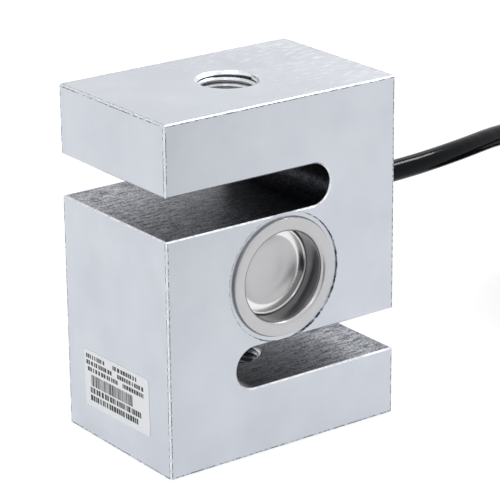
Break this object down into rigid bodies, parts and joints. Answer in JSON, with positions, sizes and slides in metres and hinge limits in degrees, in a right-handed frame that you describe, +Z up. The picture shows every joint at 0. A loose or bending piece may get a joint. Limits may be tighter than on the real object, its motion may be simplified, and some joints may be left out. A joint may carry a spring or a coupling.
{
  "type": "s type load cell",
  "caption": "S-shaped strain gauge load cell with opposed slots, welded sealing cups on both faces, a threaded hole in each arm and a cable with bare cores.",
  "frame": {"origin": "middle of the block's bottom face, on the axis of both threads", "axes": "+Z up along the load axis from the bottom thread to the top one, +X along the front face towards the cable gland, +Y from the front face to the rear one"},
  "size_m": [0.2386, 0.0452, 0.0762],
  "materials": {
    "nickel_plated_steel": "ground and nickel plated, satin",
    "drawn_stainless": "deep drawn, semi-bright",
    "gland_metal": "nickel plated brass",
    "grommet_rubber": "matt",
    "cable_jacket": "smooth extruded, glossy",
    "tie_nylon": "natural nylon",
    "shrink_sleeve": "shrunk polyolefin",
    "red_core_pvc": "extruded",
    "black_core_pvc": "extruded",
    "green_core_pvc": "extruded",
    "white_core_pvc": "extruded",
    "tinned_copper": "tinned",
    "gauge_film": "polyimide film with etched foil",
    "silicone_coat": "translucent silicone",
    "circuit_board": "glass epoxy",
    "chip_ceramic": "glazed ceramic",
    "label_film": "white printed film"
  },
  "bodies": {
    "root": {"s_block": "nickel_plated_steel", "front_sealing_cup": "drawn_stainless", "rear_sealing_cup": "drawn_stainless", "front_shear_gauge": "gauge_film", "rear_shear_gauge": "gauge_film", "front_gauge_coat": "silicone_coat", "rear_gauge_coat": "silicone_coat", "front_terminal_strip": "circuit_board", "rear_terminal_strip": "circuit_board", "front_bridge_wires": "tinned_copper", "rear_bridge_wires": "tinned_copper", "cross_wires": "tinned_copper", "compensation_board": "circuit_board", "trim_resistors": "chip_ceramic", "supply_wires": "tinned_copper", "inner_leads": "white_core_pvc", "gland_body": "gland_metal", "gland_grommet": "grommet_rubber", "gland_nut": "gland_metal", "cable_lead": "cable_jacket", "cable_hank": "cable_jacket", "cable_tail": "cable_jacket", "hank_tie": "tie_nylon", "end_sleeve": "shrink_sleeve", "red_core": "red_core_pvc", "black_core": "black_core_pvc", "green_core": "green_core_pvc", "white_core": "white_core_pvc", "tinned_ends": "tinned_copper", "shield_drain": "tinned_copper", "label_sticker": "label_film"}
  },
  "joints": []
}
